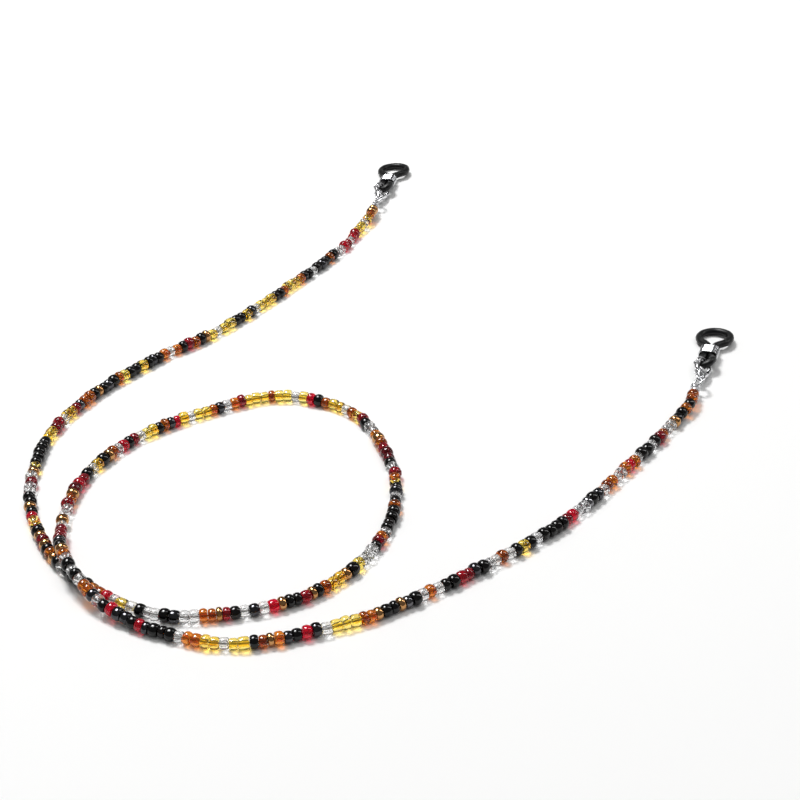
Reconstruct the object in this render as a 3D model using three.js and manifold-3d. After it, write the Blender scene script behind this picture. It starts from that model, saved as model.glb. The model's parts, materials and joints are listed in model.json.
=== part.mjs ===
// Beaded eyeglass retainer strap, laid out on a table.
// One strand of seed beads on a beading thread, with the same chain of fittings at each end:
// bead tip and crimp, jump ring, lobster clasp, and a rubber temple loop with a coil slider.
// Millimetres, +Z up, table at z = 0, +Y away from the wearer's neck towards the glasses.
import * as THREE from "three";
import { mergeVertices } from "three/addons/utils/BufferGeometryUtils.js";
import Module from "manifold-3d";

const wasm = await Module();
wasm.setup();

// Strand and thread
const STRAND_RADIUS = 1.5; // seed beads of 3 mm, to the flats of the tube that stands for them
const BORE_RADIUS = 0.65;
const THREAD_RADIUS = 0.25;
const CORD_SIDES = 8;
const STRAND_STEPS = 80;

// Facets of the small round pieces
const TURNED_SIDES = 12;
const WIRE_SIDES = 8;
const LOOP_SIDES = 20;
const RING_SIDES = 24;
const OUTLINE_SIDES = 6; // for each arc of a flat outline
const STADIUM_SIDES = 5;
const MERGE_DISTANCE = 1e-4;
const CUT_HALF = 4; // half the length of a tool that cuts right through

// Centre line of the strand from its left end to its right end, over the first run at the bottom left.
const ROUTE = [
  [-49, 37.5, 2.55],
  [-50, 32.5, 2.55],
  [-53.5, 24, 1.6],
  [-57.5, 13, 1.52],
  [-91, -40, 1.5],
  [-105.5, -54.5, 1.5],
  [-118.5, -71.5, 1.5],
  [-127, -89.5, 1.5],
  [-129.5, -109.5, 1.5],
  [-126.5, -129, 1.5],
  [-119.5, -144.5, 1.5],
  [-113, -153, 1.5],
  [-103, -161.5, 1.5],
  [-91, -167, 1.5],
  [-77, -166, 1.5],
  [-60.5, -159.5, 1.5],
  [-47, -143, 1.5],
  [-41.5, -120.5, 1.5],
  [-45, -99.5, 1.5],
  [-53.5, -82.5, 1.5],
  [-72, -75, 1.5],
  [-90.5, -83, 1.5],
  [-107.5, -96.5, 1.5],
  [-117.5, -116, 1.55],
  [-118.5, -136, 2.4],
  [-117, -145, 4.3],
  [-114.5, -152, 4.9],
  [-112, -156.5, 4.75],
  [-107, -162.5, 3.3],
  [-99.5, -168.5, 1.95],
  [-89, -173.5, 1.5],
  [-76, -176.5, 1.55],
  [-61, -173, 1.5],
  [-46, -166.5, 1.5],
  [-25, -151.5, 1.5],
  [-3.5, -132.5, 1.5],
  [14.5, -109, 1.52],
  [29.5, -86.5, 1.65],
  [34, -79.5, 2.55],
  [35.5, -75, 2.55],
];

// Turn of each end's chain from +Y, clockwise from above, in degrees
const HEADINGS = { left: 11, right: 18 };

// Roll of each link about the chain, and the slope that brings the rubber loop down to the table
const LINK_ROLL = 45;
const LOOP_ROLL = -5;
const LOOP_PITCH = -3.5;
const LINK_GAP = 0.1; // slack between two linked wires

// Bead tip: a small cup that holds the crimp, with a wire loop on it
const TIP_START = 0.2; // from the last bead
const TIP_RADIUS = 1.15;
const TIP_LENGTH = 1.9;
const TIP_WALL = 0.3;
const TIP_HOLE = 0.42;
const TIP_LOOP_RADIUS = 0.98; // to the centre of its wire
const TIP_WIRE = 0.25;
const TIP_CROWN = 0.6; // flat part of its closed end, against the radius
const TIP_MOUTH = 0.75; // and of its open end
const TIP_SHOULDER = 1.5 * TIP_WALL;
const CRIMP_RADIUS = 0.6;
const CRIMP_BORE = 0.34;
const CRIMP_LENGTH = 0.85;
const CRIMP_GAP = 0.15;
const CRIMP_START = TIP_START + TIP_WALL + CRIMP_GAP;
const TAIL_OVERLAP = 0.6; // of the thread's straight tail with its curved run

// Jump ring
const RING_RADIUS = 2.15;
const RING_WIRE = 0.35;

// Lobster clasp, in its own plane: x across, y along from the centre of its eye, z through it
const EYE_RADIUS = 0.95;
const EYE_WIRE = 0.4;
const HEAD_Y = 7.2;
const HEAD_RADIUS = 2.8;
const HEAD_BORE = 1.6;
const THROAT_Y = 4.6; // narrower round end of the opening in the head
const THROAT_BORE = 1.15;
const CLASP_FLANK = [
  [0.9, 0.7],
  [1.5, 1.6],
  [2.05, 3.2],
  [2.5, 5.0],
  [2.78, 6.5],
];
const CLASP_HALF_THICKNESS = [
  [0.45, 0.5],
  [1.1, 1.6],
  [1.1, 4.0],
  [0.6, 6.2],
  [0.55, 10.3],
];
const MOUTH = [
  [-3.6, 3.9],
  [-0.9, 3.9],
  [-0.9, 6.7],
  [-1.3, 6.55],
  [-3.6, 5.68],
];
const SLOT = { x0: -3.6, x1: 0.2, y0: 1.75, y1: 4.0, half: 0.75 };
const PIVOT = [-0.95, 2.85];
const RIVET_RADIUS = 0.35;
const RIVET_HEAD = 0.6;
const RIVET_HEAD_THICKNESS = 0.15;
const RIVET_HEAD_GAP = 0.05;
const RIVET_CLEARANCE = 0.08;
const LEVER_HUB = 0.8;
const LEVER_Z = [-0.62, 0.2];
const LEVER_EDGE = [
  [-0.2, 3.35],
  [-1.35, 4.3],
  [-1.5, 6.2],
  [-2.45, 5.75],
  [-2.45, 5.25],
  [-3.15, 5.15],
  [-3.15, 4.65],
  [-2.3, 4.25],
  [-1.75, 3.1],
];
const SPRING_Z = [0.32, 0.65];
const SPRING_RADII = [0.45, 0.78];

// Rubber temple loop and its coil slider: x across, y along from the middle of the small end
const RUBBER_RADIUS = 1.0;
const RUBBER_STEPS = 56;
const CORD_Y = 7.3; // where the rubber lies in the clasp's head
const LEG_X = 1.06;
const SMALL_END = [
  [1.35, 0.45],
  [2.05, 1.8],
  [1.8, 3.4],
  [1.2, 4.8],
];
const SMALL_END_TWIST = -25; // against the large end, taken up below the coil
const TWIST_Y = [1.8, 5.3];
const NECK_Y = [5.3, 12.3];
const BUTT_Y = 7.8; // the cord's two cut ends meet inside the coil
const BUTT_GAP = 0.3;
const LARGE_END = [
  [1.75, 13.4],
  [3.5, 15.3],
  [4.2, 17.8],
  [3.5, 20.4],
  [1.75, 21.8],
];
const CROWN_Y = 22.2;
const COIL_Y = [5.5, 10.3];
const COIL_GAP = 0.12;
const COIL_WIRE = 0.5;

const STEEL = { color: 0xc9ccd0, roughness: 0.22, metalness: 1.0 };
const DULL_STEEL = { color: 0x9a9ca0, roughness: 0.4, metalness: 1.0 };
const RUBBER = { color: 0x141414, roughness: 0.55, metalness: 0.0 };
const BEADS = { color: 0x3a2416, roughness: 0.12, metalness: 0.1 };
const THREAD = { color: 0x6c6a66, roughness: 0.4, metalness: 0.0 };

const CHAIN_AXIS = new THREE.Vector3(0, 1, 0);
const rad = THREE.MathUtils.degToRad;
const mirrored = (points) => points.map(([x, y]) => [-x, y]).reverse();
const vectors = (points) => points.map(([x, y]) => new THREE.Vector2(x, y));

// A closed geometry as a solid that can be cut and joined.
function solid(geometry) {
  const bare = geometry.clone();
  bare.deleteAttribute("normal");
  bare.deleteAttribute("uv");
  const merged = mergeVertices(bare, MERGE_DISTANCE);
  return new wasm.Manifold(
    new wasm.Mesh({
      numProp: 3,
      vertProperties: new Float32Array(merged.attributes.position.array),
      triVerts: new Uint32Array(merged.index.array),
    }),
  );
}

function geometryOf(body) {
  const mesh = body.getMesh();
  const geometry = new THREE.BufferGeometry();
  geometry.setAttribute("position", new THREE.BufferAttribute(mesh.vertProperties, 3));
  geometry.setIndex(new THREE.BufferAttribute(mesh.triVerts, 1));
  geometry.computeVertexNormals();
  return geometry;
}

// A flat shape given thickness from z0 to z1.
function slab(shape, z0, z1, segments = OUTLINE_SIDES) {
  const options = { depth: z1 - z0, bevelEnabled: false, curveSegments: segments };
  return new THREE.ExtrudeGeometry(shape, options).translate(0, 0, z0);
}

// A round section with flats at the top and bottom, with an optional bore.
function section(radius, bore = 0) {
  const ring = (r) =>
    Array.from({ length: CORD_SIDES }, (_, i) => {
      const angle = ((i + 0.5) / CORD_SIDES) * 2 * Math.PI;
      return new THREE.Vector2(r * Math.cos(angle), r * Math.sin(angle));
    });
  const shape = new THREE.Shape(ring(radius));
  if (bore) shape.holes.push(new THREE.Path(ring(bore)));
  return shape;
}

function tube(path, steps, radius, bore) {
  const options = { steps, extrudePath: path, bevelEnabled: false };
  return new THREE.ExtrudeGeometry(section(radius, bore), options);
}

const strandPath = new THREE.CatmullRomCurve3(ROUTE.map((p) => new THREE.Vector3(...p)));

// The thread inside the beads, with a straight tail in each crimp.
function threadGeometry(ends) {
  const tailLength = CRIMP_START + CRIMP_LENGTH + TAIL_OVERLAP;
  const thread = tube(strandPath, STRAND_STEPS, THREAD_RADIUS);
  return geometryOf(
    ends.reduce((body, end) => {
      const tail = new THREE.CylinderGeometry(THREAD_RADIUS, THREAD_RADIUS, tailLength, CORD_SIDES);
      tail.translate(0, tailLength / 2 - TAIL_OVERLAP, 0).applyMatrix4(end.matrix);
      return body.add(solid(tail));
    }, solid(thread)),
  );
}

function tipGeometry() {
  const inner = TIP_RADIUS - TIP_WALL;
  const top = TIP_START + TIP_LENGTH;
  const cup = new THREE.LatheGeometry(
    vectors([
      [0, top - TIP_WALL],
      [inner * TIP_CROWN, top - TIP_WALL],
      [inner, top - 2 * TIP_WALL],
      [inner, TIP_START + TIP_WALL],
      [TIP_HOLE, TIP_START + TIP_WALL],
      [TIP_HOLE, TIP_START],
      [TIP_RADIUS * TIP_MOUTH, TIP_START],
      [TIP_RADIUS, TIP_START + TIP_WALL],
      [TIP_RADIUS, top - TIP_SHOULDER],
      [TIP_RADIUS * TIP_CROWN, top],
      [0, top],
    ]),
    TURNED_SIDES,
  );
  const loop = new THREE.TorusGeometry(TIP_LOOP_RADIUS, TIP_WIRE, WIRE_SIDES, LOOP_SIDES);
  loop.translate(0, tipLoopY(), 0);
  return geometryOf(solid(cup).add(solid(loop)));
}

function crimpGeometry() {
  const y0 = CRIMP_START;
  const y1 = CRIMP_START + CRIMP_LENGTH;
  return new THREE.LatheGeometry(
    vectors([
      [CRIMP_BORE, y0],
      [CRIMP_RADIUS, y0],
      [CRIMP_RADIUS, y1],
      [CRIMP_BORE, y1],
      [CRIMP_BORE, y0],
    ]),
    TURNED_SIDES,
  );
}

// Places along the chain, from the last bead
const tipLoopY = () => TIP_START + TIP_LENGTH + TIP_LOOP_RADIUS - TIP_WIRE / 2;
const ringY = tipLoopY() + TIP_LOOP_RADIUS - (TIP_WIRE + RING_WIRE + LINK_GAP) + RING_RADIUS;
const claspY = ringY + RING_RADIUS - (RING_WIRE + EYE_WIRE + LINK_GAP) + EYE_RADIUS;
const loopY = claspY + CORD_Y;

function claspBodyGeometry() {
  const outline = new THREE.Shape(vectors(CLASP_FLANK));
  const shoulder = Math.asin((CLASP_FLANK.at(-1)[1] - HEAD_Y) / HEAD_RADIUS);
  outline.absarc(0, HEAD_Y, HEAD_RADIUS, shoulder, Math.PI - shoulder);
  mirrored(CLASP_FLANK).forEach(([x, y]) => outline.lineTo(x, y));
  const opening = new THREE.Path();
  opening.absarc(0, HEAD_Y, HEAD_BORE, 0, Math.PI);
  opening.absarc(0, THROAT_Y, THROAT_BORE, Math.PI, 2 * Math.PI);
  outline.holes.push(opening);
  const plate = solid(slab(outline, -CUT_HALF, CUT_HALF));

  const profile = [...CLASP_HALF_THICKNESS, ...mirrored(CLASP_HALF_THICKNESS)];
  const taper = slab(new THREE.Shape(vectors(profile)), -CUT_HALF, CUT_HALF).rotateY(Math.PI / 2);
  const eye = new THREE.TorusGeometry(EYE_RADIUS, EYE_WIRE, WIRE_SIDES, LOOP_SIDES);
  const mouth = slab(new THREE.Shape(vectors(MOUTH)), -CUT_HALF, CUT_HALF);
  const slot = new THREE.BoxGeometry(SLOT.x1 - SLOT.x0, SLOT.y1 - SLOT.y0, 2 * SLOT.half);
  slot.translate((SLOT.x0 + SLOT.x1) / 2, (SLOT.y0 + SLOT.y1) / 2, 0);
  return geometryOf(
    plate
      .intersect(solid(taper))
      .add(solid(eye))
      .subtract(solid(mouth))
      .subtract(solid(slot))
      .subtract(solid(pivotHole())),
  );
}

function pivotHole() {
  const radius = RIVET_RADIUS + RIVET_CLEARANCE;
  const hole = new THREE.CylinderGeometry(radius, radius, 2 * CUT_HALF, TURNED_SIDES);
  return hole.rotateX(Math.PI / 2).translate(...PIVOT, 0);
}

// The gate of the clasp: a hub on the rivet, a bar that closes the mouth, and a thumb nub.
function leverGeometry() {
  const shape = new THREE.Shape();
  shape.absarc(...PIVOT, LEVER_HUB, Math.PI, 2 * Math.PI);
  LEVER_EDGE.forEach(([x, y]) => shape.lineTo(x, y));
  return geometryOf(solid(slab(shape, ...LEVER_Z)).subtract(solid(pivotHole())));
}

function rivetGeometry() {
  const body = Math.max(...CLASP_HALF_THICKNESS.map(([half]) => half)) + RIVET_HEAD_GAP;
  const end = body + RIVET_HEAD_THICKNESS;
  const rivet = new THREE.LatheGeometry(
    vectors([
      [0, -end],
      [RIVET_HEAD, -end],
      [RIVET_HEAD, -body],
      [RIVET_RADIUS, -body],
      [RIVET_RADIUS, body],
      [RIVET_HEAD, body],
      [RIVET_HEAD, end],
      [0, end],
    ]),
    TURNED_SIDES,
  );
  return rivet.rotateX(Math.PI / 2).translate(...PIVOT, 0);
}

// The flat torsion spring on the rivet, beside the lever.
function springGeometry() {
  const [inner, outer] = SPRING_RADII;
  const [z0, z1] = SPRING_Z;
  const spring = new THREE.LatheGeometry(
    vectors([
      [inner, z0],
      [outer, z0],
      [outer, z1],
      [inner, z1],
      [inner, z0],
    ]),
    TURNED_SIDES,
  );
  return spring.rotateX(Math.PI / 2).translate(...PIVOT, 0);
}

// One rubber cord: down one leg, round the small end, up through the coil, round the large end.
function rubberGeometry() {
  const half = [[0, 0], ...SMALL_END, ...NECK_Y.map((y) => [LEG_X, y]), ...LARGE_END, [0, CROWN_Y]];
  const butt = half.findIndex(([, y]) => y > BUTT_Y);
  const points = [
    [LEG_X, BUTT_Y - BUTT_GAP / 2],
    ...half.slice(1, butt).reverse(),
    ...half.map(([x, y]) => [-x, y]),
    ...half.slice(butt, -1).reverse(),
    [LEG_X, BUTT_Y + BUTT_GAP / 2],
  ];
  const twisted = points.map(([x, y]) => {
    const share = 1 - THREE.MathUtils.smoothstep(y, ...TWIST_Y);
    return new THREE.Vector3(x, y, 0).applyAxisAngle(CHAIN_AXIS, rad(SMALL_END_TWIST * share));
  });
  return tube(new THREE.CatmullRomCurve3(twisted), RUBBER_STEPS, RUBBER_RADIUS);
}

// The space that the coil winds round both legs of the rubber cord, as a sleeve.
function coilGeometry() {
  const stadium = (target, radius) => {
    target.absarc(LEG_X, 0, radius, -Math.PI / 2, Math.PI / 2);
    target.absarc(-LEG_X, 0, radius, Math.PI / 2, (3 * Math.PI) / 2);
    return target;
  };
  const inner = RUBBER_RADIUS + COIL_GAP;
  const shape = stadium(new THREE.Shape(), inner + COIL_WIRE);
  shape.holes.push(stadium(new THREE.Path(), inner));
  const sleeve = slab(shape, 0, COIL_Y[1] - COIL_Y[0], STADIUM_SIDES);
  return sleeve.rotateX(-Math.PI / 2).translate(0, COIL_Y[0], 0);
}

function part(group, name, geometry, look) {
  const mesh = new THREE.Mesh(geometry, new THREE.MeshStandardMaterial(look));
  mesh.name = name;
  group.add(mesh);
}

// A link of the chain in its own group, turned about the chain.
function link(end, y, roll, pitch = 0) {
  const group = new THREE.Group();
  group.position.set(0, y, 0);
  group.rotation.set(rad(pitch), rad(roll), 0);
  end.add(group);
  return group;
}

function makeEnd(side, point) {
  const end = new THREE.Group();
  end.position.set(...point);
  end.rotation.z = -rad(HEADINGS[side]);
  end.updateMatrix();

  const tip = link(end, 0, LINK_ROLL);
  part(tip, `${side}_bead_tip`, tipGeometry(), DULL_STEEL);
  part(tip, `${side}_crimp_bead`, crimpGeometry(), DULL_STEEL);

  const ring = link(end, ringY, LINK_ROLL - 90);
  const ringGeometry = new THREE.TorusGeometry(RING_RADIUS, RING_WIRE, WIRE_SIDES, RING_SIDES);
  part(ring, `${side}_jump_ring`, ringGeometry, STEEL);

  const clasp = link(end, claspY, LINK_ROLL);
  part(clasp, `${side}_clasp_body`, claspBodyGeometry(), STEEL);
  part(clasp, `${side}_clasp_lever`, leverGeometry(), STEEL);
  part(clasp, `${side}_clasp_rivet`, rivetGeometry(), STEEL);
  part(clasp, `${side}_clasp_spring`, springGeometry(), DULL_STEEL);

  const loop = link(end, loopY, LOOP_ROLL, LOOP_PITCH);
  part(loop, `${side}_rubber_loop`, rubberGeometry(), RUBBER);
  part(loop, `${side}_coil_slider`, coilGeometry(), STEEL);
  return end;
}

const strap = new THREE.Group();
const ends = [makeEnd("left", ROUTE[0]), makeEnd("right", ROUTE.at(-1))];
const flatRadius = STRAND_RADIUS / Math.cos(Math.PI / CORD_SIDES);
part(strap, "bead_strand", tube(strandPath, STRAND_STEPS, flatRadius, BORE_RADIUS), BEADS);
part(strap, "beading_thread", threadGeometry(ends), THREAD);
strap.add(...ends);

export default strap;
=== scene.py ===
"""Beaded eyeglass retainer strap, laid out on a table: a strand of seed beads with a jump ring,
a lobster clasp and a rubber temple loop at each end. Metres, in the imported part's own frame."""

import json
import math
import random

import bpy
import numpy as np
from mathutils import Matrix, Vector


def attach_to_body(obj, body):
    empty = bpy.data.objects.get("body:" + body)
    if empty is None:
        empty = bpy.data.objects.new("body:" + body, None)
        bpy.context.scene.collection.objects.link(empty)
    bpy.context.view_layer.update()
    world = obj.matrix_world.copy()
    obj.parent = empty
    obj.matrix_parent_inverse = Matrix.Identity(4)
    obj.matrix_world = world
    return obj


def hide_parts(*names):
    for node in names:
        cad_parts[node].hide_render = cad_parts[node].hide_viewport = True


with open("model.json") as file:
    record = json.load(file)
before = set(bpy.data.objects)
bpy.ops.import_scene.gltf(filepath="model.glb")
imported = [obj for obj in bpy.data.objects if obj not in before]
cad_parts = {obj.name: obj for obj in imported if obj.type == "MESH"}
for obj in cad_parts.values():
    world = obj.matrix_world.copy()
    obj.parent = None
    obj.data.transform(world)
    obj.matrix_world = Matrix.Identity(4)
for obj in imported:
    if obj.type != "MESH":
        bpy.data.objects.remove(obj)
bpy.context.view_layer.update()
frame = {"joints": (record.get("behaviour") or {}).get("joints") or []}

MM = 0.001
SIDES = ("left", "right")

# ---------------------------------------------------------------- driving values

# Camera: it looks along +Y and down at the middle of the strap as it lies
CAMERA_TARGET = Vector((-0.0407, -0.0745, 0.0))
CAMERA_DISTANCE = 0.462
CAMERA_ELEVATION = math.radians(31)
CAMERA_LENS = 80.0

# Centre line of the strand, from its left end to its right end
ROUTE = (
    (-0.0490, 0.0375, 0.00255), (-0.0500, 0.0325, 0.00255), (-0.0535, 0.0240, 0.00160),
    (-0.0575, 0.0130, 0.00152), (-0.0910, -0.0400, 0.00150), (-0.1055, -0.0545, 0.00150),
    (-0.1185, -0.0715, 0.00150), (-0.1270, -0.0895, 0.00150), (-0.1295, -0.1095, 0.00150),
    (-0.1265, -0.1290, 0.00150), (-0.1195, -0.1445, 0.00150), (-0.1130, -0.1530, 0.00150),
    (-0.1030, -0.1615, 0.00150), (-0.0910, -0.1670, 0.00150), (-0.0770, -0.1660, 0.00150),
    (-0.0605, -0.1595, 0.00150), (-0.0470, -0.1430, 0.00150), (-0.0415, -0.1205, 0.00150),
    (-0.0450, -0.0995, 0.00150), (-0.0535, -0.0825, 0.00150), (-0.0720, -0.0750, 0.00150),
    (-0.0905, -0.0830, 0.00150), (-0.1075, -0.0965, 0.00150), (-0.1175, -0.1160, 0.00155),
    (-0.1185, -0.1360, 0.00240), (-0.1170, -0.1450, 0.00430), (-0.1145, -0.1520, 0.00490),
    (-0.1120, -0.1565, 0.00475), (-0.1070, -0.1625, 0.00330), (-0.0995, -0.1685, 0.00195),
    (-0.0890, -0.1735, 0.00150), (-0.0760, -0.1765, 0.00155), (-0.0610, -0.1730, 0.00150),
    (-0.0460, -0.1665, 0.00150), (-0.0250, -0.1515, 0.00150), (-0.0035, -0.1325, 0.00150),
    (0.0145, -0.1090, 0.00152), (0.0295, -0.0865, 0.00165), (0.0340, -0.0795, 0.00255),
    (0.0355, -0.0750, 0.00255),
)
STRAND_RADIUS = 1.5 * MM
THREAD_DIAMETER = 0.5 * MM
THREAD_TAIL = 1.4 * MM  # past the last bead, into the crimp

# Beads in order along the strand. Each row starts at a distance in millimetres from the left end.
BEAD_ORDER = (
    (0, "bboawaarrwrrww"),
    (31.5, "kokhkwkkoaaao"),
    (60, "kkaaawhakk"),
    (82.3, "aawabkog"),
    (100.3, "kowokhkakkao"),
    (124.8, "khkbkoohgaaw"),
    (148.6, "ggaakkkkkabwg"),
    (178.2, "wwkkbkraakb"),
    (201, "gbkobkwkkkkoorwawk"),
    (240, "wwkcwwoobrk"),
    (261, "whw"),
    (267.2, "rbkkrbkoaa"),
    (287, "bkawww"),
    (299.5, "kgow"),
    (307, "kkkkok"),
    (320, "whkaog"),
    (332, "wkgggobo"),
    (350, "wwkgaowaaokraw"),
    (379.5, "aaoaaagowhoaawa"),
    (410.3, "rhokaawgkrw"),
    (430.6, "obkawkgrgbog"),
    (457.2, "wwbwggghk"),
    (478, "bowkwkwoohwkrh"),
    (505.8, "hkrhkkkw"),
    (521.2, "ooaawaa"),
    (535.6, "kobohkrhw"),
    (553.4, "aaaoob"),
    (565.3, "kkbhkwowkkrghk"),
    (594.3, "wwowkakwkkkkgr"),
    (624, "wwhkhwoowworo"),
    (652.3, "wkkwkgowwbkkokoo"),
)
# Letter: kind of glass, length against the others, outer radius, and squareness of the section
# (2 is an ellipse)
BEAD_KINDS = {
    "k": ("black", 1.05, 1.53 * MM, 2.05),
    "h": ("hematite", 0.95, 1.54 * MM, 2.2),
    "c": ("hematite", 1.4, 1.46 * MM, 2.7),
    "a": ("amber", 1.12, 1.5 * MM, 2.8),
    "w": ("crystal", 1.0, 1.42 * MM, 2.6),
    "o": ("copper", 1.0, 1.54 * MM, 2.1),
    "b": ("bronze", 0.88, 1.56 * MM, 2.1),
    "r": ("ruby", 1.05, 1.54 * MM, 2.15),
    "g": ("garnet", 1.0, 1.55 * MM, 2.15),
}
BEAD_BORE = 0.46 * MM
BEAD_GAP = 0.05 * MM
BEAD_SHIFT = 0.22 * MM  # sideways, because the bore is wider than the thread
BEAD_AROUND = 28
BEAD_ACROSS = 18
# How uneven the beads are: shares of their size, and degrees of tilt
BEAD_SEED = 11
LENGTH_SPREAD = (0.84, 1.16)
RADIUS_SPREAD = (0.92, 1.08)
BORE_SPREAD = (0.9, 1.15)
SQUARENESS_SPREAD = (0.9, 1.1)
SLANT = 0.06
OVALNESS = 0.045
TILT_LEVEL = 5.5
TILT_UPRIGHT = 3.5

# Links of each end's chain
TIP_START = 0.2 * MM
TIP_RADIUS = 1.15 * MM
TIP_LENGTH = 1.9 * MM
TIP_WALL = 0.3 * MM
TIP_HOLE = 0.42 * MM
TIP_SHOULDER = 0.8 * MM
TIP_INNER_SHOULDER = 0.5 * MM
TIP_SEAM_WIDTH = 0.09  # sine of its angle
TIP_SEAM_DEPTH = 0.07  # share of the radius
TIP_LOOP_RADIUS = 0.98 * MM
TIP_LOOP_ARC = (-97, 251)
TIP_LOOP_WANDER = 0.03 * MM
TIP_WIRE = 0.25 * MM
CRIMP_START = 0.65 * MM
CRIMP_LENGTH = 0.85 * MM
CRIMP_RADIUS = 0.6 * MM
CRIMP_BORE = 0.34 * MM
CRIMP_ROWS = 9
CRIMP_EDGE = 0.06 * MM
CRIMP_PINCH = 0.22  # share of the height
CRIMP_PINCH_WIDTH = 0.22 * MM
RING_RADIUS = 2.15 * MM
RING_WIRE = 0.35 * MM
RING_CUT = 62  # degrees round from the x way
RING_GAP = 1
RING_STEP = 0.02 * MM  # to each side, at the cut

# Lobster clasp, from the centre of its eye: x across, y along, z through it. Outlines and ranges
# are in millimetres.
CLASP_HINGE_Y = 9.4 * MM
EYE_RADIUS = 0.95 * MM
EYE_WIRE = 0.4 * MM
HEAD_Y = 7.2 * MM
HEAD_RADIUS = 2.8 * MM
HEAD_BORE = 1.6 * MM
WAIST_Y = 4.6 * MM
WAIST_RADIUS = 1.15 * MM
CLASP_FLANK = ((0.9, 0.7), (1.5, 1.6), (2.05, 3.2), (2.5, 5.0), (2.78, 6.5))
CLASP_HALF_THICKNESS = ((0.5, 0.45), (1.6, 1.1), (4.0, 1.1), (6.2, 0.6), (10.3, 0.55))  # at y
CLASP_RIM = ((4.0, 0.8), (6.0, 0.58))  # width of the rounded rim, at y
CLASP_FALL = 0.6 * MM  # how fast the field grows away from the body
CLASP_STEP = 0.06 * MM
CLASP_MARGIN = 0.15 * MM
CLASP_HALF_DEPTH = 1.25 * MM
MOUTH = ((-3.6, 3.9), (-0.9, 3.9), (-0.9, 6.7), (-1.3, 6.55), (-3.6, 5.68))
SLOT = ((-3.6, 0.2), (1.75, 4.0), 0.75)  # its range in x and y, and half its width
MOUTH_EASE = 0.35 * MM
EYE_EASE = 0.3 * MM
HOLE_EASE = 0.1 * MM
BORE_EASE = 0.06 * MM
LEVER_BORE_EASE = 0.05 * MM
PIVOT = Vector((-0.95, 2.85, 0.0)) * MM
RIVET_RADIUS = 0.35 * MM
RIVET_HEAD = 0.6 * MM
RIVET_HALF_LENGTH = 1.15 * MM
RIVET_DOME = 0.16 * MM
RIVET_RIM = 0.02 * MM
RIVET_CLEARANCE = 0.05 * MM
LEVER_HUB = 0.8 * MM
LEVER_EASE = 0.16 * MM
LEVER_STEP = 0.05 * MM
LEVER_MARGIN = 0.1  # in millimetres, as the two below
LEVER_BOX_X = (-3.3, 0.1)
LEVER_BOX_TOP = 6.4
LEVER_Z = (-0.62, 0.2)
LEVER_EDGE = (
    (-0.2, 3.35), (-1.35, 4.3), (-1.5, 6.2), (-2.45, 5.75), (-2.45, 5.25),
    (-3.15, 5.15), (-3.15, 4.65), (-2.3, 4.25), (-1.75, 3.1),
)
SPRING_RADIUS = 0.62 * MM
SPRING_WIRE = 0.075 * MM
SPRING_Z = (0.42, 0.56)
SPRING_TURNS = 2
SPRING_POINTS = 60

# Rubber temple loop, from the middle of its small end: x across, y along, in millimetres
LOOP_Y = 7.3 * MM  # in the clasp's head
LOOP_ROLL = math.radians(-5)
RUBBER_RADIUS = 1.0 * MM
LEG_X = 1.06
SMALL_END = ((1.35, 0.45), (2.05, 1.8), (1.8, 3.4), (1.2, 4.8))
SMALL_END_TWIST = math.radians(-25)
TWIST_Y = (1.8, 5.3)
NECK_Y = (5.3, 12.3)
BUTT_Y = 7.8  # where the cord's two cut ends meet, inside the coil
BUTT_GAP = 0.3
LARGE_END = ((1.75, 13.4), (3.5, 15.3), (4.2, 17.8), (3.5, 20.4), (1.75, 21.8))
CROWN_Y = 22.2
COIL_Y = (5.5, 10.3)
COIL_TURNS = 7
COIL_POINTS = 56  # to a turn
COIL_WIRE = 0.22 * MM
COIL_RADIUS = 1.37 * MM

END_INSET = 0.25  # share of a tube's radius over which its ends narrow
END_NARROWING = 0.78

WORLD_LIGHT = 0.2
FLOOR_SIZE = 6.0
NOISE_RANGE = (0.3, 0.7)  # where most values of a noise texture lie


# ---------------------------------------------------------------- camera

def make_camera():
    data = bpy.data.cameras.new("camera")
    data.lens = CAMERA_LENS
    camera = bpy.data.objects.new("camera", data)
    bpy.context.scene.collection.objects.link(camera)
    back = Vector((0, -math.cos(CAMERA_ELEVATION), math.sin(CAMERA_ELEVATION)))
    camera.location = CAMERA_TARGET + CAMERA_DISTANCE * back
    camera.rotation_euler = (math.pi / 2 - CAMERA_ELEVATION, 0, 0)
    bpy.context.scene.camera = camera


# ---------------------------------------------------------------- lines and sweeps

def smooth_line(points, per_span=24):
    """A centripetal Catmull-Rom line through the points, as the strand's path."""
    points = [np.array(p, float) for p in points]
    points = [2 * points[0] - points[1], *points, 2 * points[-1] - points[-2]]
    line = []
    for a, b, c, d in zip(points, points[1:], points[2:], points[3:]):
        ab, bc, cd = (np.linalg.norm(q - p) ** 0.5 for p, q in ((a, b), (b, c), (c, d)))
        leave = ((b - a) / ab - (c - a) / (ab + bc) + (c - b) / bc) * bc
        arrive = ((c - b) / bc - (d - b) / (bc + cd) + (d - c) / cd) * bc
        t = np.linspace(0, 1, per_span, endpoint=False)[:, None]
        bend = 2 * (b - c) + leave + arrive
        line.append(b + leave * t + (3 * (c - b) - 2 * leave - arrive) * t**2 + bend * t**3)
    line.append(points[-2][None])
    return np.vstack(line)


def distances(line):
    return np.concatenate([[0], np.cumsum(np.linalg.norm(np.diff(line, axis=0), axis=1))])


def unit(v):
    return v / np.linalg.norm(v, axis=-1, keepdims=True)


def carried_frames(line):
    """Two directions square to the line at each point, carried along it without twist."""
    tangents = unit(np.gradient(line, axis=0))
    side = unit(np.cross(tangents[0], (0.0, 0.0, 1.0)))
    sides = []
    for tangent in tangents:
        side = unit(side - tangent * side.dot(tangent))
        sides.append(side)
    sides = np.array(sides)
    return sides, np.cross(tangents, sides)


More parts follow.
